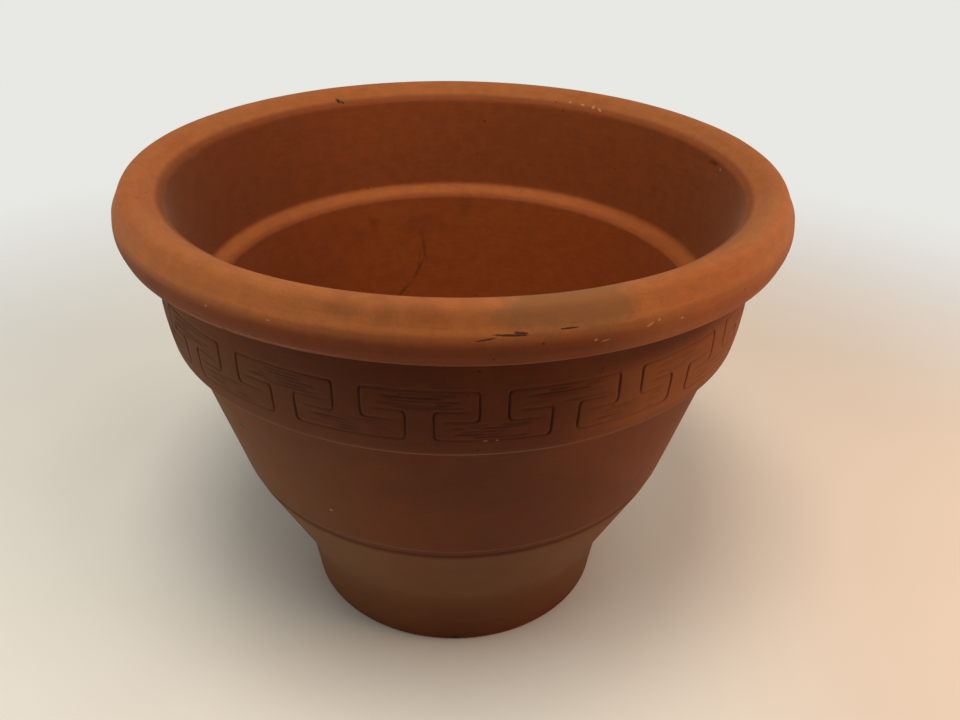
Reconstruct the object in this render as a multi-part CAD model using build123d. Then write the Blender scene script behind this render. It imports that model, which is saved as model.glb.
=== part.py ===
"""Terracotta pot: one thrown and fired body with a rolled rim, a pressed Greek-key band and a turned foot.

Millimetres, +Z up. The origin is the centre of the foot's flat underside, and Z is the throwing axis.
"""
from build123d import *
from math import degrees, hypot, radians
import os

# Overall sizes
rim_diameter = 356.0  # across the outer face of the rim, the widest place
pot_height = 268.0  # foot to the crown of the rim
foot_diameter = 184.0  # across the flat base
foot_height = 36.0  # base to where the foot opens out into the bowl
foot_top_spread = 5.5  # the top of the foot is wider than its base by this on each side
shoulder_diameter = 259.2  # across the crease low on the bowl, where its wall turns in to the foot
shoulder_height = 102.0

# Rolled rim
rim_depth = 25.5  # crown to the rim's underside
rim_overhang = 18.6  # how far the rim stands out from the neck under it
rim_width = 25.5  # outer face to the mouth
crown_inset = 9.5  # outer face to the crown, the rim's highest line
widest_drop = 16.5  # crown to the widest line of the outer face
crease_drop = 10.3  # crown to the soft crease over the outer face
crease_inset = 0.7
face_inset = 2.6  # the outer face draws in by this at its lower edge
lip_drop = 8.4  # crown down the rim's sloping top to the corner of the mouth

# Band
band_height = 55.5  # rim's underside to the step under the band
band_bulge = 2.6  # how far the band swells past the line from its top to its bottom
band_taper = 0.8  # the band's lower edge lies this much inside its top edge
band_step = 6.4  # step in from the band to the bowl
step_slope = 3.4  # height over which the step falls

# Walls inside
upper_wall = 18.8  # behind the band
lower_wall = 18.2  # just under the ledge
bowl_wall = 15.8  # at the shoulder
foot_wall = 22.0  # from the top of the foot to the corner of the floor
floor_thickness = 16.0
ledge_below_rim = 40.5  # rim's underside to the upper edge of the ledge
ledge_fall = 5.8  # the ledge slopes down by this
drain_hole_diameter = 28.0

# Roundings and the turned ring
shoulder_round = 4.0
foot_round = 70.0  # the long hollow where the foot opens into the bowl
foot_edge_round = 2.0
floor_round = 18.0
throat_round = 36.0  # the bowl's inside at the height of the shoulder
rim_edge_round = 2.5
mouth_round = 4.0
band_edge_round = 4.5
ledge_round = 1.5
ring_width = 6.0  # groove turned along the crease of the shoulder
ring_depth = 1.0

# Greek-key pattern pressed into the band
fret_repeats = 16
fret_phase = -84.2  # polar angle of one upper finger's middle, in degrees
fret_rise = 9.4  # band's lower edge to the pattern's lowest row
fret_row_pitch = 3.3  # between neighbouring rows of a stack
fret_mid_gap = 5.2  # between the two innermost rows
fret_finger = 12.4  # width of the plain finger between two boxes
groove_width = 1.5
groove_depth = 1.2
stroke_reach = (14.0, 17.0, 20.0)  # half-lengths of a stack's strokes, outer row to inner row

# Radii and heights that follow
rim_radius = rim_diameter / 2
neck_radius = rim_radius - rim_overhang
mouth_radius = rim_radius - rim_width
underside = pot_height - rim_depth
step_top = underside - band_height
step_foot = step_top - step_slope
band_foot_radius = neck_radius - band_taper
bowl_radius = band_foot_radius - band_step
shoulder_radius = shoulder_diameter / 2
foot_radius = foot_diameter / 2
foot_top_radius = foot_radius + foot_top_spread
ledge_top = underside - ledge_below_rim
ledge_outer = neck_radius + band_bulge - upper_wall
ledge_inner = bowl_radius - lower_wall
floor_radius = foot_top_radius - foot_wall
throat_radius = shoulder_radius - bowl_wall
hole_radius = drain_hole_diameter / 2


def band_arc(shift=0.0):
    """The swollen outline of the band from its top edge to its bottom edge, moved out by shift."""
    middle = (neck_radius + band_foot_radius) / 2 + band_bulge
    return ThreePointArc(
        (neck_radius + shift, underside),
        (middle + shift, (underside + step_top) / 2),
        (band_foot_radius + shift, step_top),
    )


def corner(vertices, radius, height):
    """The outline's vertex nearest to a radius and height."""
    return min(vertices, key=lambda v: hypot(v.X - radius, v.Y - height))


def half_outline():
    """Half of the pot's section, in the XY plane with X as radius and Y as height, corners rounded."""
    face_edge = (rim_radius - face_inset, underside)
    widest = (rim_radius, pot_height - widest_drop)
    crease = (rim_radius - crease_inset, pot_height - crease_drop)
    crown = (rim_radius - crown_inset, pot_height)
    lip = (mouth_radius, pot_height - lip_drop)
    with BuildSketch() as section:
        with BuildLine():
            Polyline(
                (hole_radius, 0),
                (foot_radius, 0),
                (foot_top_radius, foot_height),
                (shoulder_radius, shoulder_height),
                (bowl_radius, step_foot),
                (band_foot_radius, step_top),
            )
            band_arc()
            Line((neck_radius, underside), face_edge)
            Spline(face_edge, widest, tangents=[(0.3, 0.95), (0, 1)])
            Spline(widest, crease, tangents=[(0, 1), (-0.2, 0.98)])
            Spline(crease, crown, tangents=[(-0.5, 0.87), (-1, 0)])
            Spline(crown, lip, tangents=[(-1, 0), (-0.88, -0.47)])
            Polyline(
                lip,
                (ledge_outer, ledge_top),
                (ledge_inner, ledge_top - ledge_fall),
                (throat_radius, shoulder_height),
                (floor_radius, floor_thickness),
                (hole_radius, floor_thickness),
                (hole_radius, 0),
            )
        make_face()
        rounds = (
            (foot_radius, 0, foot_edge_round),
            (foot_top_radius, foot_height, foot_round),
            (shoulder_radius, shoulder_height, shoulder_round),
            (band_foot_radius, step_top, band_edge_round),
            (rim_radius - face_inset, underside, rim_edge_round),
            (mouth_radius, pot_height - lip_drop, mouth_round),
            (ledge_outer, ledge_top, ledge_round),
            (ledge_inner, ledge_top - ledge_fall, ledge_round),
            (throat_radius, shoulder_height, throat_round),
            (floor_radius, floor_thickness, floor_round),
        )
        for radius, height, size in rounds:
            fillet(corner(section.vertices(), radius, height), size)
    return section.sketch


def shoulder_ring():
    """The round tool of the groove turned along the crease of the shoulder."""
    tool_radius = ring_width**2 / (8 * ring_depth) + ring_depth / 2
    centre = shoulder_radius + tool_radius - ring_depth
    return revolve(Plane.XZ * Pos(centre, shoulder_height) * Circle(tool_radius), Axis.Z)


def arc_stroke(height, middle, half_length):
    """A pressed stroke that runs around the band: middle is in degrees, half_length in millimetres."""
    reach = neck_radius + band_bulge
    half_turn = degrees(half_length / reach)
    tool = Plane.XZ * Pos(reach, height) * Rectangle(rim_overhang, groove_width)
    return Rot(0, 0, middle - half_turn) * revolve(tool, Axis.Z, 2 * half_turn)


def upright_stroke(angle, low, high):
    """A pressed stroke that runs up the band at an angle in degrees."""
    tool = Box(rim_overhang, groove_width, high - low)
    return Rot(0, 0, angle) * Pos(neck_radius + band_bulge, 0, (low + high) / 2) * tool


def fret_repeat():
    """The grooves of one repeat: an upper finger at 0 degrees and the lower finger half a turn of it on."""
    pitch = 360 / fret_repeats
    reach = neck_radius + band_bulge
    finger_turn = degrees(fret_finger / 2 / reach)
    box_half = radians(pitch) * reach / 2 - fret_finger / 2
    half_stack = fret_mid_gap / 2 + 3 * fret_row_pitch
    centre = step_top + fret_rise + half_stack
    strokes = []
    for side, at in ((1, 0.0), (-1, pitch / 2)):
        rows = [centre - side * (fret_mid_gap / 2 + i * fret_row_pitch) for i in range(4)]
        far_row = centre + side * half_stack
        outer, middle, inner = stroke_reach
        tail = (inner - fret_finger / 2) / 2
        for direction in (-1, 1):
            edge = at + direction * finger_turn
            low, high = sorted((rows[0], far_row))
            strokes.append(upright_stroke(edge, low - groove_width / 2, high + groove_width / 2))
            tail_middle = edge + direction * degrees(tail / reach)
            strokes.append(arc_stroke(rows[0], tail_middle, tail))
        strokes.append(arc_stroke(rows[1], at, middle))
        strokes.append(arc_stroke(rows[2], at, outer))
        strokes.append(arc_stroke(rows[3], at, box_half))
    return strokes


def band_skin():
    """The outer layer of the band, as deep as the grooves."""
    with BuildSketch(Plane.XZ) as layer:
        with BuildLine():
            band_arc(-groove_depth)
            band_arc(rim_overhang)
            Line((neck_radius - groove_depth, underside), (neck_radius + rim_overhang, underside))
            Line((band_foot_radius - groove_depth, step_top), (band_foot_radius + rim_overhang, step_top))
        make_face()
    return revolve(layer.sketch, Axis.Z)


def pot():
    """The whole pot: the turned section, with the ring turned and the pattern pressed into its outside."""
    body = revolve(Plane.XZ * half_outline(), Axis.Z) - shoulder_ring()
    pattern = (Part() + fret_repeat()) & band_skin()
    pitch = 360 / fret_repeats
    return body - [Rot(0, 0, fret_phase + i * pitch) * pattern for i in range(fret_repeats)]


os.makedirs("parts", exist_ok=True)
export_step(pot(), "parts/pot.step")
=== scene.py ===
"""Terracotta pot: the visible clay body, its weathered finish and a plain studio, laid out as an add-on."""
import math

import bpy
import numpy as np
from bpy.props import FloatProperty, FloatVectorProperty, IntProperty, PointerProperty
from mathutils import Euler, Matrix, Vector


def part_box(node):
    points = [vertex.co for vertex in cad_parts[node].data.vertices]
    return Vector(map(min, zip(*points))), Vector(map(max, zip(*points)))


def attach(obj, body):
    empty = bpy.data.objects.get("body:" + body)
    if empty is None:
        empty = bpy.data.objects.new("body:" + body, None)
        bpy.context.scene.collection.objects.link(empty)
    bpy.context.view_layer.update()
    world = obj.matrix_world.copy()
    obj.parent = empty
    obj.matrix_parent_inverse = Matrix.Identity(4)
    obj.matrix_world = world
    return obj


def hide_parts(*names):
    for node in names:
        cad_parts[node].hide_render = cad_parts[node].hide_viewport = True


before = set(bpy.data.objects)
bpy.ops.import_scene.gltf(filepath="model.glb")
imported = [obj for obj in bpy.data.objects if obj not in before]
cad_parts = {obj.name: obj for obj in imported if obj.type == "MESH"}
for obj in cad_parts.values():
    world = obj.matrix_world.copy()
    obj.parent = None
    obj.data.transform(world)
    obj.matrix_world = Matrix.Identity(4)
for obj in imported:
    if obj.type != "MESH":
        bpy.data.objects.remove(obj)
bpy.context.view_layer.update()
pot_high = Vector(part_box("pot")[1])

bl_info = {
    "name": "Terracotta Pot",
    "version": (1, 0, 0),
    "blender": (4, 5, 0),
    "location": "View3D > Sidebar > Pot",
    "description": "Models a key-pattern terracotta pot and sets it in a plain studio",
    "category": "Add Mesh",
}

MM = 0.001
TURN = 2 * math.pi


def clay(red, green, blue):
    """A linear colour from three 0 to 255 display values."""
    def linear(value):
        share = value / 255
        return share / 12.92 if share <= 0.04045 else ((share + 0.055) / 1.055) ** 2.4
    return tuple(linear(value) for value in (red, green, blue))


def length(name, description, default):
    """A length in metres, given in millimetres, for a property group."""
    return FloatProperty(name=name, description=description, default=default * MM, unit="LENGTH", precision=4)


def colour(name, description, default):
    """A colour for a property group."""
    return FloatVectorProperty(name=name, description=description, default=default, subtype="COLOR",
                               min=0.0, max=1.0, size=3)


# Sizes and colours a user would change


class PotSizes(bpy.types.PropertyGroup):
    """The turned outline, matched to the solid part."""

    rim_radius: FloatProperty(name="Rim Radius", description="Across the rim's outer face, halved",
                              default=pot_high.x, unit="LENGTH", precision=4)
    height: FloatProperty(name="Height", description="Foot to the crown of the rim",
                          default=pot_high.z, unit="LENGTH", precision=4)
    rim_depth: length("Rim Depth", "Crown to the rim's underside", 25.5)
    rim_overhang: length("Rim Overhang", "Rim's outer face to the neck under it", 18.6)
    rim_width: length("Rim Width", "Rim's outer face to the mouth", 25.5)
    crown_inset: length("Crown Inset", "Rim's outer face to its highest line", 9.5)
    widest_drop: length("Widest Drop", "Crown to the widest line of the outer face", 16.5)
    crease_drop: length("Crease Drop", "Crown to the soft crease over the outer face", 10.3)
    crease_inset: length("Crease Inset", "Crease inside the widest line", 0.7)
    face_inset: length("Face Inset", "How far the outer face draws in at its lower edge", 2.6)
    lip_drop: length("Lip Drop", "Crown down the sloping top to the corner of the mouth", 8.4)
    mouth_round: length("Mouth Rounding", "Rounding of that corner", 4.0)
    band_height: length("Band Height", "Rim's underside to the step under the band", 55.5)
    band_bulge: length("Band Bulge", "How far the band swells", 2.6)
    band_taper: length("Band Taper", "Band's lower edge inside its top edge", 0.8)
    band_step: length("Band Step", "Step in from the band to the bowl", 6.4)
    step_slope: length("Step Slope", "Height over which the step falls", 3.4)
    shoulder_radius: length("Shoulder Radius", "Crease low on the bowl, where its wall turns in", 129.6)
    shoulder_height: length("Shoulder Height", "Base to the crease low on the bowl", 102.0)
    foot_radius: length("Foot Radius", "Across the flat base, halved", 92.0)
    foot_height: length("Foot Height", "Base to where the foot opens out", 36.0)
    foot_top_spread: length("Foot Top Spread", "Top of the foot outside its base", 5.5)
    upper_wall: length("Upper Wall", "Wall behind the band", 18.8)
    lower_wall: length("Lower Wall", "Wall just under the ledge", 18.2)
    bowl_wall: length("Bowl Wall", "Wall at the shoulder", 15.8)
    foot_wall: length("Foot Wall", "Top of the foot to the corner of the floor", 22.0)
    floor: length("Floor", "Thickness of the floor", 16.0)
    ledge_below_rim: length("Ledge Drop", "Rim's underside to the ledge inside", 40.5)
    ledge_fall: length("Ledge Fall", "How far the ledge slopes down", 5.8)
    hole_radius: length("Hole Radius", "Drain hole", 14.0)
    ring_width: length("Ring Width", "Groove turned along the crease of the shoulder", 6.0)
    ring_depth: length("Ring Depth", "Depth of that groove", 1.0)


class FretSizes(bpy.types.PropertyGroup):
    """The key pattern pressed into the band."""

    repeats: IntProperty(name="Repeats", description="Repeats around the pot", default=16, min=6, max=40)
    phase: FloatProperty(name="Phase", description="Polar angle of one upper finger's middle",
                         default=math.radians(-84.2), subtype="ANGLE")
    middle: length("Middle", "Rim's underside to the middle of the pattern", 32.9)
    row_pitch: length("Row Pitch", "Between neighbouring rows of a stack", 3.4)
    mid_gap: length("Middle Gap", "Between the two innermost rows", 5.2)
    finger: length("Finger", "Width of the plain finger between two boxes", 12.4)
    corner: length("Corner", "Rounding of a box's corners", 2.6)
    groove: length("Groove", "Width of a pressed line", 1.35)
    depth: length("Depth", "Depth of a pressed line", 1.05)
    stroke: length("Stroke", "Width of the brushed strokes between the boxes", 1.3)
    stroke_depth: length("Stroke Depth", "Depth of those strokes", 0.35)


class ClayColours(bpy.types.PropertyGroup):
    """Fired clay, what has settled on it, and painted shade."""

    rim: colour("Rim", "Lighter clay on the rim", clay(155, 89, 43))
    rim_warm: colour("Warm Rim", "Redder patches of the rim", clay(154, 84, 38))
    # Painted shade: the darker colour of the rim's outer face below the crease stands in for shade under
    # light from above
    rim_face: colour("Rim Face", "Redder, darker clay below the rim's crease", clay(113, 52, 18))
    body: colour("Body", "Clay of the band and bowl", clay(99, 46, 11))
    body_dark: colour("Dark Body", "Darker firing on the bowl", clay(87, 39, 9))
    inside: colour("Inside", "Clay of the inner wall", clay(133, 65, 24))
    inside_low: colour("Lower Inside", "Clay below the ledge", clay(142, 66, 19))
    ledge: colour("Ledge", "Lighter, worn clay on the ledge inside", clay(162, 88, 40))
    # Also painted shade: this dark is laid in the shoulder groove, as the rim's shadow on the band, on the
    # inner wall's left and in part of the pressed lines
    dust: colour("Dust", "Pale grey-brown dust", clay(116, 78, 44))
    grime_and_shade: colour("Grime", "Dirt in the pressed lines", clay(46, 22, 11))
    # Also painted shade: this black fills small holes
    soot_and_hole_shade: colour("Soot", "Black scuffs", clay(30, 18, 12))
    lime: colour("Lime", "White mineral specks", clay(206, 172, 132))
    moss: colour("Moss", "Greenish tint near the foot", clay(96, 65, 30))


class StudioSizes(bpy.types.PropertyGroup):
    """Camera, lamps and floor."""

    camera_back: length("Camera Back", "Pot's axis to the camera along the floor", 472.1)
    camera_height: length("Camera Height", "Floor to the camera", 423.6)
    camera_down: FloatProperty(name="Camera Down", description="How far the camera looks down",
                               default=0.5384, subtype="ANGLE")
    camera_turn: FloatProperty(name="Camera Turn", description="How far the camera looks to its right",
                               default=0.0311, subtype="ANGLE")
    camera_roll: FloatProperty(name="Camera Roll", description="How far the camera leans",
                               default=-0.0206, subtype="ANGLE")
    lens: FloatProperty(name="Lens", description="Focal length in millimetres", default=33.75)
    floor_colour: colour("Floor", "Pale floor", clay(232, 229, 220))
    # Painted light: a warm tint on the floor's right stands in for warm light falling there
    floor_painted_warm_light: colour("Floor Warm", "Floor on the right, in warmer light", clay(212, 180, 152))


# Outline of the pot


def corner_arc(before, at, after, radius, pieces):
    """Points of a rounded corner of an outline."""
    into = (before - at) / np.linalg.norm(before - at)
    out = (after - at) / np.linalg.norm(after - at)
    bend = math.acos(float(np.clip(into @ out, -1, 1)))
    reach = radius / math.tan(bend / 2)
    reach = min(reach, 0.48 * np.linalg.norm(before - at), 0.48 * np.linalg.norm(after - at))
    start, end = at + into * reach, at + out * reach
    steps = np.linspace(0, 1, pieces + 1)[:, None]
    return list(start * (1 - steps) ** 2 + 2 * at * steps * (1 - steps) + end * steps ** 2)


def rounded_path(corners):
    """A smooth line through (radius, height, rounding) corners; its ends stay where they are."""
    points = [np.array(corner[:2]) for corner in corners]
    path = [points[0]]
    for i in range(1, len(corners) - 1):
        rounding = corners[i][2]
        if rounding:
            path += corner_arc(points[i - 1], points[i], points[i + 1], rounding, 10)
        else:
            path.append(points[i])
    path.append(points[-1])
    return np.array(path)


def evenly(path, spacing):
    """The same line with points about a spacing apart."""
    steps = np.linalg.norm(np.diff(path, axis=0), axis=1)
    along = np.concatenate([[0], np.cumsum(steps)])
    count = max(2, round(along[-1] / spacing) + 1)
    at = np.linspace(0, along[-1], count)
    return np.column_stack([np.interp(at, along, path[:, k]) for k in range(2)])


def curve_through(start, start_way, end, end_way, pieces=24):
    """A smooth curve from one point and direction to another."""
    start, end = np.array(start), np.array(end)
    span = np.linalg.norm(end - start)
    one = start + np.array(start_way) * span * 0.42
    two = end - np.array(end_way) * span * 0.42
    t = np.linspace(0, 1, pieces)[:, None]
    return (1 - t) ** 3 * start + 3 * (1 - t) ** 2 * t * one + 3 * (1 - t) * t ** 2 * two + t ** 3 * end


def wall_of_mouth(size):
    """The corner of the mouth, the place on its wall where the rim's mesh ends and the ledge's upper edge."""
    corner = np.array((size.rim_radius - size.rim_width, size.height - size.lip_drop))
    neck = size.rim_radius - size.rim_overhang
    ledge = np.array((neck + size.band_bulge - size.upper_wall,
                      size.height - size.rim_depth - size.ledge_below_rim))
    return corner, corner + (ledge - corner) * (8 * MM / np.linalg.norm(ledge - corner)), ledge


def rim_outline(size):
    """From the neck under the rim, over the crown and its sloping top, into the mouth."""
    neck = size.rim_radius - size.rim_overhang
    underside = size.height - size.rim_depth
    face_edge = (size.rim_radius - size.face_inset, underside)
    widest = (size.rim_radius, size.height - size.widest_drop)
    crease = (size.rim_radius - size.crease_inset, size.height - size.crease_drop)
    crown = (size.rim_radius - size.crown_inset, size.height)
    lip = (size.rim_radius - size.rim_width, size.height - size.lip_drop)
    face = curve_through(face_edge, (0.3, 0.954), widest, (0, 1))
    turn = face[int(len(face) * 0.45)]
    lower = rounded_path([(neck, underside, 0), (*face_edge, 2.5 * MM), (*turn, 0)])
    rest = face[int(len(face) * 0.45) + 1:]
    upper = curve_through(widest, (0, 1), crease, (-0.1, 0.995))[1:]
    top = curve_through(crease, (-0.58, 0.815), crown, (-1, 0))[1:]
    slope = curve_through(crown, (-1, 0), lip, (-0.88, -0.47))[1:]
    turn = slope[len(slope) // 2]
    mouth = rounded_path([(*turn, 0), (*lip, size.mouth_round), (*wall_of_mouth(size)[1], 0)])
    return np.vstack([lower, rest, upper, top, slope[:len(slope) // 2], mouth])


# The band's rounded lower edge: how far up it begins, and its middle in from and up from the sharp corner.
EDGE_ABOVE = 2.7 * MM
EDGE_MIDDLE = (0.6 * MM, 0.36 * MM)


def band_outline(size):
    """The band, from the step under it up to the neck under the rim."""
    neck = size.rim_radius - size.rim_overhang
    step_top = size.height - size.rim_depth - size.band_height
    height = np.linspace(EDGE_MIDDLE[1], size.band_height, 61)
    up = height / size.band_height
    radius = neck - size.band_taper * (1 - up) + size.band_bulge * 4 * up * (1 - up)
    softened = EDGE_MIDDLE[0] * np.clip((EDGE_ABOVE - height) / (EDGE_ABOVE - EDGE_MIDDLE[1]), 0, 1) ** 2
    return np.column_stack([radius - softened, step_top + height])


def foot_outline(size):
    """From the drain hole, out over the base and up the foot and bowl to the band's lower edge."""
    neck = size.rim_radius - size.rim_overhang
    step_top = size.height - size.rim_depth - size.band_height
    band_foot = neck - size.band_taper
    return rounded_path([
        (size.hole_radius, 0, 0),
        (size.foot_radius, 0, 2 * MM),
        (size.foot_radius + size.foot_top_spread, size.foot_height, 70 * MM),
        (size.shoulder_radius, size.shoulder_height, 4 * MM),
        (band_foot - size.band_step, step_top - size.step_slope, 0.8 * MM),
        (band_foot - 2.4 * MM, step_top - 1.3 * MM, 1.5 * MM),
        (band_foot - EDGE_MIDDLE[0], step_top + EDGE_MIDDLE[1], 0),
    ])


def inside_outline(size):
    """From the end of the rim's mesh down to the floor and the edge of the drain hole's underside."""
    neck = size.rim_radius - size.rim_overhang
    _, start, ledge = wall_of_mouth(size)
    ledge_inner = neck - size.band_taper - size.band_step - size.lower_wall
    return rounded_path([
        (*start, 0),
        (*ledge, 5.5 * MM),
        (ledge_inner, ledge[1] - size.ledge_fall, 1.6 * MM),
        (size.shoulder_radius - size.bowl_wall, size.shoulder_height, 36 * MM),
        (size.foot_radius + size.foot_top_spread - size.foot_wall, size.floor, 18 * MM),
        (size.hole_radius, size.floor, 1 * MM),
        (size.hole_radius, 0, 0),
    ])


# Noise and the pressed pattern


def lattice(cells, seed):
    """A repeatable value from -1 to 1 for each whole-number cell."""
    mixed = (cells[..., 0] * 374761393 + cells[..., 1] * 668265263
             + cells[..., 2] * 2147483647 + seed * 144665)
    mixed = (mixed ^ (mixed >> 13)) * 1274126177
    return ((mixed ^ (mixed >> 16)) & 0xFFFF) / 32767.5 - 1


def soft_noise(points, size, seed):
    """Smooth noise from -1 to 1 whose swells are about a size apart."""
    scaled = points / size
    cell = np.floor(scaled).astype(np.int64)
    part = scaled - cell
    ease = part * part * (3 - 2 * part)
    total = 0.0
    for corner in np.ndindex(2, 2, 2):
        weight = np.prod(np.where(np.array(corner), ease, 1 - ease), axis=-1)
        total = total + weight * lattice(cell + np.array(corner), seed)
    return total


def smooth_step(value, low, high):
    """0 below low, 1 above high, and a soft rise between."""
    share = np.clip((value - low) / (high - low), 0, 1)
    return share * share * (3 - 2 * share)


# The brushed strokes of one stack: a row of the pattern, which may be in between two, and the stroke's ends
# along the band in millimetres from the middle of the stack's finger
STROKES = ((0.55, -9.0, 18.0), (1.0, -17.0, 13.0), (1.5, -12.0, 16.5), (2.0, -15.5, 10.0), (2.5, -8.0, 15.0))
LEVEL_SHARE = 0.35  # depth of a box's level lines as a share of its upright ones


def fret_lines(fret, reach):
    """One repeat of the pattern, along and up the band in metres from an upper finger's middle.

    Returns the outlines of its boxes, the strokes between them and the length of the repeat.
    """
    pitch = TURN * reach / fret.repeats
    half = fret.finger / 2
    rows = [fret.mid_gap / 2 + i * fret.row_pitch for i in range(4)]
    tail = 13 * MM
    boxes, strokes = [], []
    for sign, shift in ((1, 0.0), (-1, pitch / 2)):
        box = [(half + tail, -rows[0]), (half, -rows[0]), (half, rows[3]),
               (pitch - half, rows[3]), (pitch - half, -rows[0]), (pitch - half - tail, -rows[0])]
        outline = rounded_path([(x, y, fret.corner) for x, y in box])
        boxes.append(outline * (1, sign) + (shift, 0))
        for row, start, end in STROKES:
            y = -np.interp(row, range(4), rows)
            strokes.append(np.array([(start * MM, y), (end * MM, y)]) * (1, sign) + (shift, 0))
    return boxes, strokes, pitch


def nearness(along, up, lines, pitch, width, level_share=1.0):
    """How near each point is to the lines: 1 on an upright one, level_share on a level one, 0 beside it."""
    pressed = np.zeros(along.shape)
    for points in lines:
        for start, end in zip(points[:-1], points[1:]):
            way = end - start
            span = way @ way
            upright = abs(way[1]) / math.sqrt(span)
            weight = level_share + (1 - level_share) * upright
            outer = width * (0.8 - 0.2 * upright)
            for turn in (-pitch, 0, pitch):
                dx, dy = along - start[0] - turn, up - start[1]
                share = np.clip((dx * way[0] + dy * way[1]) / span, 0, 1)
                gap = np.hypot(dx - share * way[0], dy - share * way[1])
                pressed = np.maximum(pressed, weight * (1 - smooth_step(gap, 0.15 * width, outer)))
    return pressed


def pressed_pattern(along, up, fret, reach):
    """How far the boxes' outlines and the strokes are pressed, each 0 to 1, along and up the band."""
    boxes, strokes, pitch = fret_lines(fret, reach)
    local = (along + 0.5 * fret.finger) % pitch - 0.5 * fret.finger
    pressed = nearness(local, up, boxes, pitch, fret.groove, LEVEL_SHARE)
    brushed = nearness(local, up, strokes, pitch, fret.stroke)
    place = np.stack([along, up * 4, np.zeros(along.shape)], axis=-1)
    pressed = pressed * (0.8 + 0.2 * soft_noise(place, 30 * MM, 12))
    return pressed, brushed * smooth_step(soft_noise(place, 9 * MM, 31), -0.7, 0.2)


# Clay body


def column_angles(fret, reach):
    """Angles of the mesh's columns: close together beside the pattern's upright lines."""
    pitch = TURN * reach / fret.repeats
    edge = fret.finger / 2
    fine = np.array([-2.6, -1.9, -1.4, -1.0, -0.7, -0.4, -0.13, 0.13, 0.4, 0.7, 1.0, 1.4, 1.9, 2.6]) * MM
    uprights = [edge, pitch / 2 - edge, pitch / 2 + edge, pitch - edge]
    places = np.concatenate([at + fine for at in uprights])
    gaps = []
    clear = 2.6 * MM
    for low, high, count in ((-edge, edge, 3), (edge, pitch / 2 - edge, 7),
                             (pitch / 2 - edge, pitch / 2 + edge, 3), (pitch / 2 + edge, pitch - edge, 7)):
        gaps.append(np.linspace(low + clear, high - clear, count + 2)[1:-1])
    one = np.sort(np.concatenate([places, *gaps])) / reach
    turns = np.arange(fret.repeats)[:, None] * TURN / fret.repeats
    return (one[None, :] + turns).ravel()


def ring_faces(low, high):
    """Faces between two closed rings of vertex numbers. High may hold a whole multiple of low's count."""
    ratio = len(high) // len(low)
    faces = []
    for i in range(len(low)):
        following = (i + 1) % len(low)
        span = [high[(i * ratio + k) % len(high)] for k in range(ratio, -1, -1)]
        faces.append([low[i], low[following], *span])
    return faces


def ring_block(angles, outline):
    """Vertex places for an outline turned through angles: one row per outline point."""
    radius = outline[:, 0][:, None]
    height = np.repeat(outline[:, 1][:, None], len(angles), axis=1)
    return np.stack([radius * np.cos(angles), radius * np.sin(angles), height], axis=-1)


def outline_normals(outline):
    """Unit normals of an outline in its own plane, on the outer side of the clay."""
    way = np.gradient(outline, axis=0)
    way /= np.linalg.norm(way, axis=1)[:, None]
    return np.column_stack([way[:, 1], -way[:, 0]])


def hand_wobble(points):
    """How far the clay's surface falls inside the true turned shape, from the hand that finished it."""
    broad = soft_noise(points, 95 * MM, 3)
    fine = soft_noise(points, 21 * MM, 8)
    return 0.22 * MM * (1 + broad) + 0.07 * MM * (1 + fine)


class ClayBody:
    """Gathers the rings of the pot's surface into one mesh."""

    def __init__(self):
        self.points = []
        self.layers = {name: [] for name in ("pressed", "brushed", "run", "rim", "inner")}
        self.faces = []
        self.count = 0

    def add_rows(self, angles, outline, sink, run, **levels):
        """Adds the rows of a stretch of outline, joined to each other, and returns their vertex numbers."""
        block = ring_block(angles, outline)
        flat = outline_normals(outline)
        normals = np.stack([flat[:, :1] * np.cos(angles), flat[:, :1] * np.sin(angles),
                            np.repeat(flat[:, 1:], len(angles), axis=1)], axis=-1)
        block = block - normals * sink(block)[..., None]
        rows = np.arange(block.shape[0] * len(angles)).reshape(block.shape[:2]) + self.count
        self.points.append(block.reshape(-1, 3))
        levels["run"] = run[:, None]
        for name, layer in self.layers.items():
            layer.append(np.broadcast_to(levels.get(name, 0.0), block.shape[:2]).ravel())
        self.count += rows.size
        for low, high in zip(rows[:-1], rows[1:]):
            self.faces += ring_faces(list(low), list(high))
        return rows

    def join(self, coarse, fine, flip=False):
        """Joins two rings, the first with as many vertices as the second or a whole share of them."""
        faces = ring_faces(list(coarse), list(fine))
        self.faces += [face[::-1] for face in faces] if flip else faces

    def to_object(self, name):
        """The finished mesh object, with its layers as attributes."""
        mesh = bpy.data.meshes.new(name)
        mesh.from_pydata(np.vstack(self.points).tolist(), [], self.faces)
        for attribute, values in self.layers.items():
            layer = mesh.attributes.new(attribute, "FLOAT", "POINT")
            layer.data.foreach_set("value", np.concatenate(values).astype(np.float32))
        mesh.shade_smooth()
        mesh.validate()
        piece = bpy.data.objects.new(name, mesh)
        bpy.context.scene.collection.objects.link(piece)
        return piece


def band_heights(size, fret):
    """Heights of the band's rows from its lower edge: close together at each row of the pattern."""
    middle = size.band_height - fret.middle
    rows = [fret.mid_gap / 2 + i * fret.row_pitch for i in range(4)]
    offsets = np.array([-1.25, -0.85, -0.5, -0.17, 0.17, 0.5, 0.85, 1.25]) * MM
    fine = np.concatenate([sign * row + offsets for row in rows for sign in (-1, 1)]) + middle
    below = np.arange(EDGE_MIDDLE[1], fine.min() - 0.5 * MM, 0.9 * MM)
    above = np.arange(size.band_height, fine.max() + 0.6 * MM, -1.3 * MM)
    return np.sort(np.concatenate([fine, below, above, [middle]]))


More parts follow.
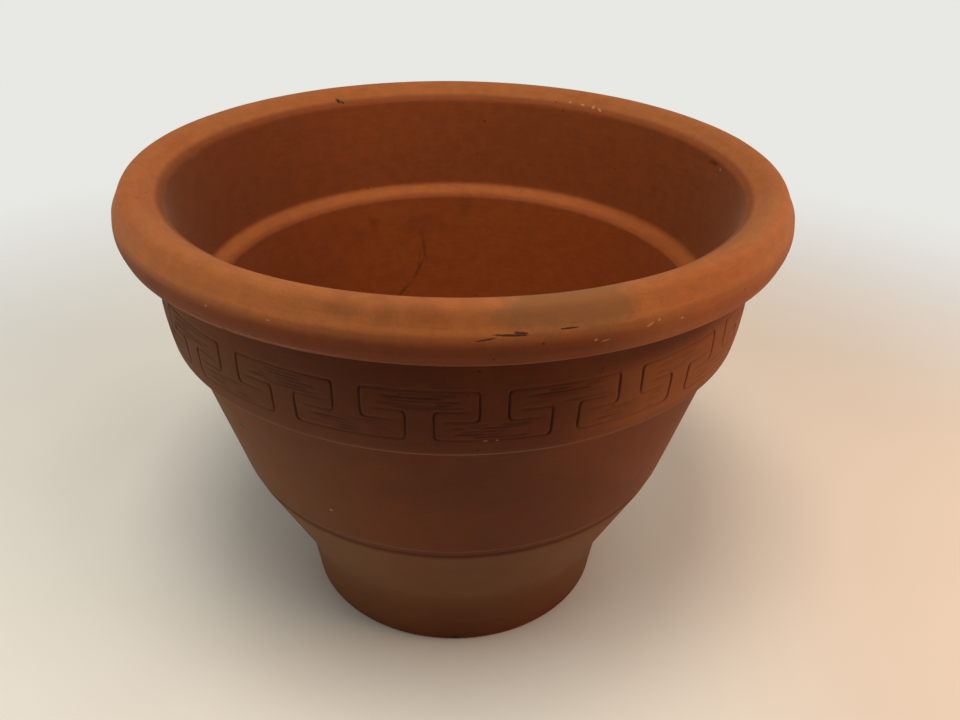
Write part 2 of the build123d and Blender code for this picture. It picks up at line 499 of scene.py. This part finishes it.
# Flakes lost from the rim: polar angle in degrees, then height below the crown, reach along, reach up and
# depth in millimetres
CHIPS = (
    (113, 3.5, 5.0, 3.0, 1.3),
    (-134, 20.5, 7.0, 2.6, 1.6),
    (-62, 8.0, 9.0, 1.3, 0.5),
    (-70, 9.5, 4.0, 1.2, 0.5),
    (12, 14.0, 6.0, 4.0, 0.9),
    (64, 19.5, 9.0, 2.5, 1.4),
    (168, 8.5, 6.0, 2.2, 0.8),
)


def edge_chips(points, size):
    """Small flakes lost from the rim, as a depth at each point."""
    angle = np.arctan2(points[..., 1], points[..., 0])
    ragged = soft_noise(points, 2.6 * MM, 21)
    from_axis = np.hypot(points[..., 0], points[..., 1])
    outside = smooth_step(from_axis, size.rim_radius - size.crown_inset, size.rim_radius - 12 * MM)
    lost = np.zeros(angle.shape)
    for degrees, below, reach, rise, depth in CHIPS:
        turn = (angle - math.radians(degrees) + math.pi) % TURN - math.pi
        along = turn * size.rim_radius / (reach * MM)
        up = (points[..., 2] - (size.height - below * MM)) / (rise * MM)
        bite = 1 - smooth_step(np.hypot(along, up) + 0.35 * ragged, 0.55, 1.0)
        lost = np.maximum(lost, bite * outside * depth * MM)
    return lost


class POT_OT_body(bpy.types.Operator):
    """Build the turned clay body with the pressed key pattern"""

    bl_idname = "pot.body"
    bl_label = "Clay Body"
    bl_options = {"REGISTER", "UNDO"}

    def execute(self, context):
        size, fret = context.scene.pot_sizes, context.scene.pot_fret
        reach = size.rim_radius - size.rim_overhang + size.band_bulge
        angles = column_angles(fret, reach) + fret.phase
        body = ClayBody()

        foot = foot_rows_outline(size)
        curve = band_outline(size)
        heights = band_heights(size, fret)
        step_top = size.height - size.rim_depth - size.band_height
        band_radii = np.interp(heights + step_top, curve[:, 1], curve[:, 0])
        band = np.column_stack([band_radii, heights + step_top])
        rim = evenly(rim_outline(size), 1.0 * MM)
        inside = inside_rows_outline(size)
        run = along_outline([foot, band, rim, inside])

        pattern_middle = size.band_height - fret.middle
        along, up = np.meshgrid((angles - fret.phase) * reach, heights - pattern_middle)
        pressed, brushed = pressed_pattern(along, up, fret, reach)

        def band_sink(points):
            worn = 0.78 + 0.3 * soft_noise(points, 26 * MM, 5)
            lines = np.maximum(fret.depth * pressed, fret.stroke_depth * brushed)
            return hand_wobble(points) + worn * lines

        def plain_sink(points):
            return hand_wobble(points) * smooth_step(points[..., 2], 0, 4 * MM)

        def foot_sink(points):
            across = (points[..., 2] - size.shoulder_height) / (0.5 * size.ring_width)
            return plain_sink(points) + size.ring_depth * np.clip(1.4 * (1 - across ** 2), 0, 1)

        def rim_sink(points):
            return hand_wobble(points) + edge_chips(points, size)

        coarse, medium = angles[::4], angles[::2]
        mouth = size.rim_radius - size.rim_width
        on_rim = smooth_step(rim[1:, 0], mouth, mouth + 5 * MM)
        foot_rows = body.add_rows(coarse, foot[:-1], foot_sink, run[0][:-1])
        band_rows = body.add_rows(angles, band, band_sink, run[1], pressed=pressed, brushed=brushed)
        rim_rows = body.add_rows(medium, rim[1:], rim_sink, run[2][1:],
                                 rim=on_rim[:, None], inner=1 - on_rim[:, None])
        inside_rows = body.add_rows(coarse, inside[1:-1], plain_sink, run[3][1:-1], inner=1.0)
        body.join(foot_rows[-1], band_rows[0])
        body.join(rim_rows[0], band_rows[-1], flip=True)
        body.join(inside_rows[0], rim_rows[-1], flip=True)
        body.join(inside_rows[-1], foot_rows[0])

        piece = body.to_object("pot_body")
        piece.data.materials.append(clay_material(context.scene))
        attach(piece, "root")
        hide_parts("pot")
        return {"FINISHED"}


def foot_rows_outline(size):
    """The foot and bowl's outline with close rows at its lower edge, the turned groove and the step."""
    line = evenly(foot_outline(size), 0.2 * MM)
    close = (size.shoulder_height - 3 * MM, size.shoulder_height + 3 * MM)
    step = size.height - size.rim_depth - size.band_height - 4 * MM
    keep = []
    for i, (radius, height) in enumerate(line):
        at_edge = height < 3 * MM and radius > size.foot_radius - 4 * MM
        near = close[0] < height < close[1] or height > step or at_edge
        keep.append(i % (3 if near else 12) == 0)
    keep[0] = keep[-1] = True
    return line[np.array(keep)]


def inside_rows_outline(size):
    """The inside's outline with close rows at the ledge and at the drain hole."""
    line = evenly(inside_outline(size), 0.2 * MM)
    ledge = size.height - size.rim_depth - size.ledge_below_rim - 0.5 * size.ledge_fall
    near = (np.abs(line[:, 1] - ledge) < 6 * MM) | (line[:, 0] < size.hole_radius + 4 * MM)
    keep = np.arange(len(line)) % np.where(near, 4, 16) == 0
    keep[0] = keep[-1] = True
    return line[keep]


def along_outline(stretches):
    """The distance along the whole outline at each point of each stretch, in metres."""
    start, result = 0.0, []
    for stretch in stretches:
        steps = np.linalg.norm(np.diff(stretch, axis=0), axis=1)
        result.append(start + np.concatenate([[0], np.cumsum(steps)]))
        start = result[-1][-1]
    return result


# Finish


class Shader:
    """A short way to write a material's nodes."""

    def __init__(self, name):
        self.material = bpy.data.materials.new(name)
        self.material.use_nodes = True
        self.tree = self.material.node_tree
        self.surface = self.tree.nodes["Principled BSDF"]

    def put(self, socket, value):
        """Links an output to a socket, or sets the socket's own value."""
        if isinstance(value, bpy.types.NodeSocket):
            self.tree.links.new(value, socket)
        elif isinstance(value, tuple) and len(value) == 3 and socket.type == "RGBA":
            socket.default_value = (*value, 1)
        else:
            socket.default_value = value

    def node(self, kind, settings=(), **inputs):
        """A node with its settings and inputs; an input's name holds _ for a space."""
        made = self.tree.nodes.new(kind)
        for key, value in settings:
            setattr(made, key, value)
        for key, value in inputs.items():
            self.put(made.inputs[key.replace("_", " ")], value)
        return made

    def sum(self, way, first, second=None, third=None):
        """A Math node."""
        made = self.node("ShaderNodeMath", [("operation", way)])
        for i, value in enumerate((first, second, third)):
            if value is not None:
                self.put(made.inputs[i], value)
        return made.outputs[0]

    def product(self, first, *others):
        """Several shares multiplied."""
        for other in others:
            first = self.sum("MULTIPLY", first, other)
        return first

    def mix(self, share, first, second):
        """Mixes two colours by a share."""
        made = self.node("ShaderNodeMix", [("data_type", "RGBA")])
        self.put(made.inputs[0], share)
        self.put(made.inputs[6], first)
        self.put(made.inputs[7], second)
        return made.outputs[2]

    def noise(self, vector, scale, detail, roughness=0.55):
        """Noise from 0 to 1."""
        made = self.node("ShaderNodeTexNoise", Vector=vector, Scale=scale, Detail=detail, Roughness=roughness)
        return made.outputs[0]

    def rise(self, value, low, high, bottom=0.0, top=1.0):
        """A soft rise from bottom to top as a value goes from low to high."""
        made = self.node("ShaderNodeMapRange", [("interpolation_type", "SMOOTHSTEP")])
        for i, part in enumerate((value, low, high, bottom, top)):
            self.put(made.inputs[i], part)
        return made.outputs[0]

    def dots(self, vector, scale, size, share):
        """Round specks: a share of the cells of a scale hold one, of a size between 0 and 1."""
        cells = self.node("ShaderNodeTexVoronoi", Vector=vector, Scale=scale)
        chance = self.node("ShaderNodeSeparateColor", Color=cells.outputs["Color"]).outputs[0]
        chosen = self.sum("LESS_THAN", chance, share)
        return self.sum("MULTIPLY", chosen, self.rise(cells.outputs["Distance"], size, size * 0.5))


# The turning lines are noise that is drawn out around the pot: places there are scaled by this
TURNING_DRAW = 0.12


class ClayShader(Shader):
    """Nodes of fired clay: where a point lies on the pot, the noises in the clay and its colour so far."""

    def __init__(self, name, size, hue):
        super().__init__(name)
        self.size = size
        self.tone = {key: tuple(getattr(hue, key)) for key in ClayColours.__annotations__}
        self.place = self.node("ShaderNodeTexCoord").outputs["Object"]
        parts = self.node("ShaderNodeSeparateXYZ", Vector=self.place)
        self.across, toward_back, self.height = parts.outputs
        self.around = self.sum("ARCTAN2", toward_back, self.across)
        self.zone = {layer: self.node("ShaderNodeAttribute", [("attribute_name", layer)]).outputs["Fac"]
                     for layer in ("pressed", "brushed", "run", "rim", "inner")}
        self.outside = self.sum("SUBTRACT", 1.0, self.zone["inner"])
        # The right side, where warm light is painted on the band and the rim's face
        self.sunny = self.product(self.turn(-76, -56), self.turn(30, 0))

        self.broad = self.noise(self.place, 9.0, 3.0)
        self.patch = self.noise(self.place, 32.0, 6.0, 0.6)
        self.mottle = self.noise(self.place, 130.0, 5.0, 0.6)
        self.speckle = self.noise(self.place, 620.0, 4.0, 0.6)
        self.grain = self.noise(self.place, 1400.0, 3.0, 0.6)
        drawn_out = self.node("ShaderNodeCombineXYZ", Z=self.zone["run"])
        self.put(drawn_out.inputs["X"], self.sum("MULTIPLY", self.across, TURNING_DRAW))
        self.put(drawn_out.inputs["Y"], self.sum("MULTIPLY", toward_back, TURNING_DRAW))
        self.streak = self.noise(drawn_out.outputs[0], 620.0, 4.0, 0.6)
        self.wide_streak = self.noise(drawn_out.outputs[0], 150.0, 4.0, 0.6)

    def turn(self, low, high, bottom=0.0, top=1.0):
        """A soft rise around the pot, from one polar angle in degrees to another."""
        return self.rise(self.around, math.radians(low), math.radians(high), bottom, top)

    def gap(self, height, level):
        """How far a height is from a level, up or down."""
        return self.sum("ABSOLUTE", self.sum("SUBTRACT", height, level))

    def less_sunny(self, share):
        """1, but less by a share where warm light is painted on the right."""
        return self.sum("MULTIPLY_ADD", self.sunny, -share, 1.0)

    def lay(self, share, name, strength):
        """Lays a colour over the clay so far."""
        self.colour = self.mix(self.sum("MULTIPLY", share, strength), self.colour, self.tone[name])

    def lay_marks(self, marks, ragged, soft, name, strength):
        """Lays a colour over a list of marks."""
        self.lay(scuffs(self, ragged, marks, soft), name, strength)


# A mark reaches this far in and out through the clay, noise breaks its edge up by this much, and it ends here
MARK_DEPTH = 14 * MM
MARK_RAGGED = 1.1
MARK_EDGE = 1.42


def scuff(shader, ragged, mark, soft):
    """A ragged patch on the clay, 1 inside and 0 outside.

    The mark is its polar angle in degrees, its radius, height, reach along and reach up in millimetres, and
    its tilt in degrees.
    """
    degrees, radius, height, along, up, tilt = mark
    angle = math.radians(degrees)
    radius = radius * MM
    mapped = shader.node("ShaderNodeMapping", [("vector_type", "TEXTURE")], Vector=shader.place)
    centre = (radius * math.cos(angle), radius * math.sin(angle), height * MM)
    mapped.inputs["Location"].default_value = centre
    mapped.inputs["Rotation"].default_value = (math.radians(tilt), 0, angle)
    mapped.inputs["Scale"].default_value = (MARK_DEPTH, along * MM, up * MM)
    away = shader.node("ShaderNodeVectorMath", [("operation", "LENGTH")])
    shader.put(away.inputs[0], mapped.outputs[0])
    broken = shader.sum("MULTIPLY_ADD", ragged, MARK_RAGGED, away.outputs["Value"])
    return shader.rise(broken, MARK_EDGE + soft, MARK_EDGE - soft)


def scuffs(shader, ragged, marks, soft):
    """Several marks of one kind together."""
    total = scuff(shader, ragged, marks[0], soft)
    for mark in marks[1:]:
        total = shader.sum("MAXIMUM", total, scuff(shader, ragged, mark, soft))
    return total


# Marks on this pot, as for scuff()
SOOT_AND_HOLE_MARKS = (
    # strokes on the front of the rim
    (-83.2, 177.4, 257.4, 7.6, 0.5, -3), (-82.0, 177.4, 258.0, 3.6, 0.6, -6),
    (-86.4, 177.9, 256.0, 4.0, 0.35, 10), (-75.8, 177.6, 258.2, 4.2, 0.35, 0),
    # a nick on the back of the rim
    (120.5, 157.0, 262.0, 2.0, 1.2, 20), (119.6, 157.0, 261.0, 0.9, 0.9, 0),
    # small holes in the band, the foot and the bowl, painted black as their shade
    (-147.0, 161.4, 212.9, 2.6, 2.2, 0), (-89.9, 92.0, 1.6, 2.4, 2.0, 0),
    (-137.4, 146.0, 162.0, 1.8, 1.7, 0), (-137.0, 130.2, 105.0, 2.0, 1.8, 0),
    # dark spots where the rim's lower edge was trimmed
    (-122.4, 176.4, 243.6, 2.4, 0.9, -20), (-135.0, 175.6, 244.2, 1.8, 0.5, -10),
)
SCRATCHES = (
    # on the inner wall, and the last one on the bowl
    (100.5, 124.0, 160.0, 1.3, 9.0, -6), (103.0, 123.0, 145.0, 1.3, 9.0, 30),
    (109.0, 121.0, 131.0, 1.2, 9.0, 52), (102.5, 122.5, 152.0, 0.4, 7.0, 12),
    (-120.0, 157.0, 176.0, 0.9, 0.5, 0),
)
DIRT_PATCHES = (
    # on the rim
    (-99.0, 169.0, 264.5, 9.0, 5.0, 0), (-94.5, 172.0, 264.5, 7.0, 4.0, 0),
    (-105.0, 170.0, 265.0, 9.0, 4.0, 0), (-12.8, 176.0, 258.5, 6.0, 4.0, 30),
    (-137.0, 174.0, 250.0, 7.0, 5.0, 0),
    # on the inner wall
    (116.0, 130.0, 181.0, 4.0, 5.0, 0), (121.0, 128.0, 176.0, 8.0, 5.0, 0),
    (87.5, 133.5, 190.0, 4.0, 9.0, 0), (100.0, 130.0, 178.0, 14.0, 7.0, 0),
)
DUST_PATCHES = ((-76.0, 170.0, 264.5, 27.0, 12.0, 0), (-70.5, 171.0, 264.0, 16.0, 11.0, 0))
LIME_MARKS = (
    # on the back of the mouth
    (61.0, 156.0, 262.5, 0.9, 0.5, 0), (57.5, 155.5, 262.2, 1.6, 0.4, 10),
    (54.5, 155.0, 262.0, 1.2, 0.9, 0), (52.6, 155.0, 261.4, 2.0, 0.5, 20),
    # on the rim's face, right and left
    (-72.2, 177.0, 252.0, 0.9, 0.6, 0), (-70.9, 177.4, 251.0, 1.9, 0.3, 10),
    (-64.3, 177.5, 254.0, 2.0, 0.5, 20), (-62.9, 177.5, 255.0, 1.0, 0.5, 0),
    (-59.0, 177.5, 253.0, 0.8, 0.5, 0), (-124.8, 177.2, 253.7, 0.7, 0.4, 0),
    (-114.5, 177.3, 255.5, 0.8, 0.3, 0),
    # under the pattern
    (-85.4, 160.4, 196.2, 1.1, 0.3, 0), (-83.6, 160.4, 196.3, 0.7, 0.3, 0),
)


def clay_material(scene):
    """Unglazed fired clay: uneven colour, turning lines, grain, dirt in the pressed lines, dust and marks."""
    shader = ClayShader("weathered_terracotta", scene.pot_sizes, scene.pot_colours)
    pores = shader.dots(shader.place, 210.0, 0.18, 0.03)
    soot_and_hole_shade = scuffs(shader, shader.speckle, SOOT_AND_HOLE_MARKS, 0.3)
    fire_colour(shader)
    tint_foot_and_ring(shader)
    settle_dust(shader)
    paint_side_light_and_shade(shader)
    fill_pattern(shader)
    sprinkle_specks(shader, pores, soot_and_hole_shade)
    shader.put(shader.surface.inputs["Base Color"], shader.colour)
    roughen(shader, pores, soot_and_hole_shade)
    return shader.material


def fire_colour(shader):
    """The colour that the firing left on the band and bowl, the rim and the inside, finely shaded, with
    painted shade on the rim's outer face below the crease.
    """
    size, tone = shader.size, shader.tone
    outer = shader.mix(shader.rise(shader.broad, 0.4, 0.62), tone["body"], tone["body_dark"])
    rim = shader.mix(shader.rise(shader.broad, 0.42, 0.6), tone["rim"], tone["rim_warm"])
    crease = size.height - size.crease_drop
    # Painted shade on the rim's outer face below the crease, weaker on the right where warm light is painted
    below = shader.rise(shader.height, crease + 0.5 * MM, crease - 6 * MM)
    below = shader.product(below, shader.less_sunny(0.65))
    rim = shader.mix(below, rim, tone["rim_face"])

    ledge = size.height - size.rim_depth - size.ledge_below_rim - size.ledge_fall
    low = shader.rise(shader.height, ledge + 3 * MM, ledge - 6 * MM)
    inside = shader.mix(low, tone["inside"], tone["inside_low"])
    worn = shader.product(shader.rise(shader.gap(shader.height, ledge + 4 * MM), 4 * MM, 1 * MM),
                          shader.rise(shader.across, 130 * MM, 60 * MM, 0.4, 1.0))
    inside = shader.mix(worn, inside, tone["ledge"])

    fired = shader.mix(shader.zone["inner"], shader.mix(shader.zone["rim"], outer, rim), inside)
    lines = shader.sum("ADD", shader.mottle, shader.sum("MULTIPLY", shader.streak, 0.6))
    shade = shader.product(shader.rise(lines, 0.55, 1.05, 0.9, 1.08),
                           shader.rise(shader.grain, 0.3, 0.7, 0.94, 1.06))
    shaded = shader.node("ShaderNodeVectorMath", [("operation", "SCALE")], Scale=shade)
    shader.put(shaded.inputs[0], fired)
    shader.colour = shaded.outputs[0]


def tint_foot_and_ring(shader):
    """Green on the foot and on the left, and painted shade in the groove turned at the shoulder."""
    size = shader.size
    shoulder = size.shoulder_height
    foot = shader.product(shader.rise(shader.height, shoulder - 1 * MM, shoulder - 4 * MM),
                          shader.rise(shader.height, 0.0, size.foot_height), shader.outside)
    shader.lay(shader.product(foot, shader.rise(shader.patch, 0.3, 0.6, 0.45, 1.0)), "moss", 0.5)
    underside = size.height - size.rim_depth
    left = shader.product(shader.turn(-95, -130), shader.rise(shader.height, underside, underside - 30 * MM))
    shader.lay(shader.product(left, shader.outside), "moss", 0.35)
    # Painted shade in the groove at the shoulder, toward the front and left
    groove_shade = shader.rise(shader.gap(shader.height, shoulder), 0.8 * size.ring_width, 0.4 * size.ring_width)
    shader.lay(shader.product(groove_shade, shader.outside, shader.turn(-50, -80)), "grime_and_shade", 0.26)


def settle_dust(shader):
    """Dust along the turning lines, patches of dust and dirt, and the scratches."""
    dusty = shader.product(shader.rise(shader.wide_streak, 0.5, 0.72), shader.rise(shader.patch, 0.45, 0.7))
    shader.lay(dusty, "dust", 0.16)
    shader.lay_marks(DUST_PATCHES, shader.mottle, 0.3, "dust", 0.62)
    shader.lay_marks(DIRT_PATCHES, shader.mottle, 0.6, "grime_and_shade", 0.17)
    shader.lay_marks(SCRATCHES, shader.speckle, 0.6, "grime_and_shade", 0.4)


def paint_side_light_and_shade(shader):
    """Painted warm orange light on the right of the band, with the rim's painted shadow as a dark strip over
    it, and painted shade on the inner wall's left.
    """
    size = shader.size
    underside = size.height - size.rim_depth
    step = underside - size.band_height
    neither = shader.sum("SUBTRACT", 1.0, shader.sum("MAXIMUM", shader.zone["inner"], shader.zone["rim"]))
    band = shader.product(shader.sunny, shader.rise(shader.height, step - 4 * MM, step + 8 * MM), neither)
    lower = shader.rise(shader.height, underside - 14 * MM, underside - 24 * MM)
    upper = shader.rise(shader.height, underside - 18 * MM, underside - 10 * MM)
    # Painted warm light: the rim's orange laid on the lower band on the right
    shader.lay(shader.product(band, lower), "rim", 0.42)
    # Painted shadow of the rim on the upper band on the right
    shader.lay(shader.product(band, upper), "grime_and_shade", 0.3)
    # Painted shade on the left of the inner wall
    shaded_left_wall = shader.product(shader.zone["inner"], shader.rise(shader.across, -50 * MM, -130 * MM))
    shader.lay(shaded_left_wall, "grime_and_shade", 0.22)


def fill_pattern(shader):
    """Dirt in the brushed strokes, less on the left and right, and dirt with painted shade in the pressed
    lines.
    """
    worn = shader.product(shader.less_sunny(0.7), shader.turn(-120, -105, 0.6, 1.0))
    brushed = shader.product(shader.zone["brushed"], worn)
    shader.lay(shader.product(brushed, shader.rise(shader.mottle, 0.3, 0.6, 0.5, 1.0)), "grime_and_shade", 0.55)
    # Partly dirt, partly painted shade in the pressed lines, weaker in their level lines
    pressed = shader.product(shader.zone["pressed"], shader.rise(shader.patch, 0.25, 0.6, 0.5, 1.0))
    shader.lay(pressed, "grime_and_shade", 0.6)


def sprinkle_specks(shader, pores, soot_and_hole_shade):
    """Dark pores, lime specks, a painted highlight along the rim's trimmed edge, and black marks with painted
    shade in small holes.
    """
    shader.lay(pores, "grime_and_shade", 0.6)
    lime = shader.product(shader.dots(shader.place, 80.0, 0.1, 0.02), shader.rise(shader.mottle, 0.4, 0.5))
    lime = shader.sum("MAXIMUM", lime, scuffs(shader, shader.speckle, LIME_MARKS, 0.3))
    shader.lay(lime, "lime", 0.34)
    # Painted highlight along the rim's trimmed edge
    shader.lay(trimmed_seam_highlight(shader), "lime", 0.12)
    # Black marks, and painted shade in small holes
    shader.lay(soot_and_hole_shade, "soot_and_hole_shade", 0.85)


def trimmed_seam_highlight(shader):
    """Painted highlight: the thin ragged pale line where the rim's lower edge was trimmed, along part of the
    front left.
    """
    stretch = shader.product(shader.turn(-142, -132), shader.turn(-98, -112))
    edge = shader.size.height - shader.size.rim_depth + 3 * MM
    ragged = shader.sum("MULTIPLY_ADD", shader.speckle, 1.6 * MM, shader.height)
    on_rim = shader.sum("GREATER_THAN", shader.zone["rim"], 0.5)
    return shader.product(stretch, on_rim, shader.rise(shader.gap(ragged, edge), 0.7 * MM, 0.2 * MM))


def roughen(shader, pores, soot_and_hole_shade):
    """A dry surface with a faint warm bloom, and relief from the turning lines, the grain, pores, black marks
    and small holes.
    """
    surface = shader.surface.inputs
    shader.put(surface["Roughness"], shader.sum("MULTIPLY_ADD", shader.mottle, 0.25, 0.68))
    surface["Specular IOR Level"].default_value = 0.2
    surface["Sheen Weight"].default_value = 0.1
    surface["Sheen Tint"].default_value = (1.0, 0.72, 0.48, 1)
    surface["Sheen Roughness"].default_value = 0.4
    relief = shader.sum("MULTIPLY_ADD", shader.streak, 0.35, shader.sum("MULTIPLY", shader.grain, 0.3))
    for part, rise in ((pores, -0.8), (soot_and_hole_shade, -0.9), (shader.mottle, 0.45)):
        relief = shader.sum("MULTIPLY_ADD", part, rise, relief)
    bump = shader.node("ShaderNodeBump", Strength=0.5, Distance=0.35 * MM, Height=relief)
    shader.put(surface["Normal"], bump.outputs[0])


# Studio


class POT_OT_studio(bpy.types.Operator):
    """Set out the pale floor, the soft lamps and the camera"""

    bl_idname = "pot.studio"
    bl_label = "Studio"
    bl_options = {"REGISTER", "UNDO"}

    def execute(self, context):
        scene = context.scene
        studio = scene.pot_studio
        add_floor(studio)
        add_lamp("overhead_softbox", (-0.1, -0.4, 1.6), (0, 0, 0.2), 0.55, 15.0, (1.0, 0.94, 0.85))
        add_lamp("side_softbox", (0.65, -0.45, 1.9), (0, 0, 0.2), 0.5, 5.0, (1.0, 0.97, 0.92))
        add_lamp("right_glow", (0.85, -0.22, 0.3), (0, 0, 0.2), 0.5, 3.8, (1.0, 0.62, 0.38))
        add_lamp("left_glow", (-0.75, -0.3, 0.12), (0, 0, 0.14), 0.5, 1.8, (1.0, 0.93, 0.85))
        add_world(scene)
        add_camera(scene, studio)
        scene.view_settings.view_transform = "Standard"
        return {"FINISHED"}


def add_floor(studio):
    """A plain pale floor with painted warm light on the right, that fades into the surround."""
    shader = Shader("pale_floor")
    shader.surface.inputs["Roughness"].default_value = 0.9
    place = shader.node("ShaderNodeTexCoord").outputs["Object"]
    faint = shader.rise(shader.noise(place, 3.0, 3.0), 0.3, 0.7, 0.0, 1.0)
    tone = tuple(studio.floor_colour)
    darker = tuple(0.94 * value for value in tone)
    colour_now = shader.mix(faint, tone, darker)
    across = shader.node("ShaderNodeSeparateXYZ", Vector=place).outputs[0]
    # Painted warm light on the right of the floor
    colour_now = shader.mix(shader.rise(across, 0.04, 0.3, 0.0, 0.5), colour_now, tuple(studio.floor_painted_warm_light))
    shader.put(shader.surface.inputs["Base Color"], colour_now)
    away = shader.node("ShaderNodeVectorMath", [("operation", "DISTANCE")], Vector=place)
    away.inputs[1].default_value = (0, -0.1, 0)
    clear = shader.node("ShaderNodeBsdfTransparent")
    blend = shader.node("ShaderNodeMixShader", Fac=shader.rise(away.outputs["Value"], 0.4, 0.95))
    shader.put(blend.inputs[1], shader.surface.outputs[0])
    shader.put(blend.inputs[2], clear.outputs[0])
    shader.put(shader.tree.nodes["Material Output"].inputs["Surface"], blend.outputs[0])
    mesh = bpy.data.meshes.new("floor")
    half = 1.2
    corners = [(-half, -half, 0), (half, -half, 0), (half, half, 0), (-half, half, 0)]
    mesh.from_pydata(corners, [], [(0, 1, 2, 3)])
    mesh.materials.append(shader.material)
    floor = bpy.data.objects.new("floor", mesh)
    bpy.context.scene.collection.objects.link(floor)


def add_lamp(name, place, aim, size, power, tint):
    """A square soft lamp that faces a point."""
    data = bpy.data.lights.new(name, "AREA")
    data.shape = "SQUARE"
    data.size = size
    data.energy = power
    data.color = tint
    lamp = bpy.data.objects.new(name, data)
    lamp.location = place
    lamp.rotation_euler = (Vector(aim) - Vector(place)).to_track_quat("-Z", "Y").to_euler()
    bpy.context.scene.collection.objects.link(lamp)


def add_world(scene):
    """An even white behind the pot, and a surround that lights it more from behind than from the front."""
    world = bpy.data.worlds.new("surround")
    world.use_nodes = True
    nodes, links = world.node_tree.nodes, world.node_tree.links
    background = nodes["Background"]
    background.inputs["Color"].default_value = (0.97, 0.97, 0.93, 1)
    toward = nodes.new("ShaderNodeSeparateXYZ")
    links.new(nodes.new("ShaderNodeTexCoord").outputs["Generated"], toward.inputs[0])
    surround = nodes.new("ShaderNodeMapRange")
    surround.inputs["From Min"].default_value = -1.0
    surround.inputs["To Min"].default_value = 0.04
    surround.inputs["To Max"].default_value = 0.5
    links.new(toward.outputs["Y"], surround.inputs["Value"])
    level = nodes.new("ShaderNodeMix")
    links.new(nodes.new("ShaderNodeLightPath").outputs["Is Camera Ray"], level.inputs["Factor"])
    links.new(surround.outputs[0], level.inputs["A"])
    level.inputs["B"].default_value = 0.83
    links.new(level.outputs["Result"], background.inputs["Strength"])
    scene.world = world


def add_camera(scene, studio):
    """A camera in front of the pot that looks down into its mouth."""
    data = bpy.data.cameras.new("camera")
    data.lens = studio.lens
    data.sensor_width = 36
    camera = bpy.data.objects.new("camera", data)
    camera.location = (0, -studio.camera_back, studio.camera_height)
    aim = Euler((math.pi / 2 - studio.camera_down, 0, -studio.camera_turn), "XYZ").to_matrix()
    camera.rotation_euler = (aim @ Euler((0, 0, -studio.camera_roll)).to_matrix()).to_euler()
    scene.collection.objects.link(camera)
    scene.camera = camera


class POT_PT_sidebar(bpy.types.Panel):
    """Lists the pot's steps in the sidebar"""

    bl_label = "Terracotta Pot"
    bl_idname = "POT_PT_sidebar"
    bl_space_type = "VIEW_3D"
    bl_region_type = "UI"
    bl_category = "Pot"

    def draw(self, context):
        for step in (POT_OT_body, POT_OT_studio):
            self.layout.operator(step.bl_idname)
        for group in ("pot_sizes", "pot_fret", "pot_colours", "pot_studio"):
            box = self.layout.box()
            settings = getattr(context.scene, group)
            for key in type(settings).__annotations__:
                box.prop(settings, key)


CLASSES = (PotSizes, FretSizes, ClayColours, StudioSizes, POT_OT_body, POT_OT_studio, POT_PT_sidebar)


def register():
    for item in CLASSES:
        bpy.utils.register_class(item)
    bpy.types.Scene.pot_sizes = PointerProperty(type=PotSizes)
    bpy.types.Scene.pot_fret = PointerProperty(type=FretSizes)
    bpy.types.Scene.pot_colours = PointerProperty(type=ClayColours)
    bpy.types.Scene.pot_studio = PointerProperty(type=StudioSizes)


def unregister():
    for group in ("pot_sizes", "pot_fret", "pot_colours", "pot_studio"):
        delattr(bpy.types.Scene, group)
    for item in reversed(CLASSES):
        bpy.utils.unregister_class(item)


def main():
    register()
    bpy.ops.pot.body()
    bpy.ops.pot.studio()


if __name__ == "__main__":
    main()
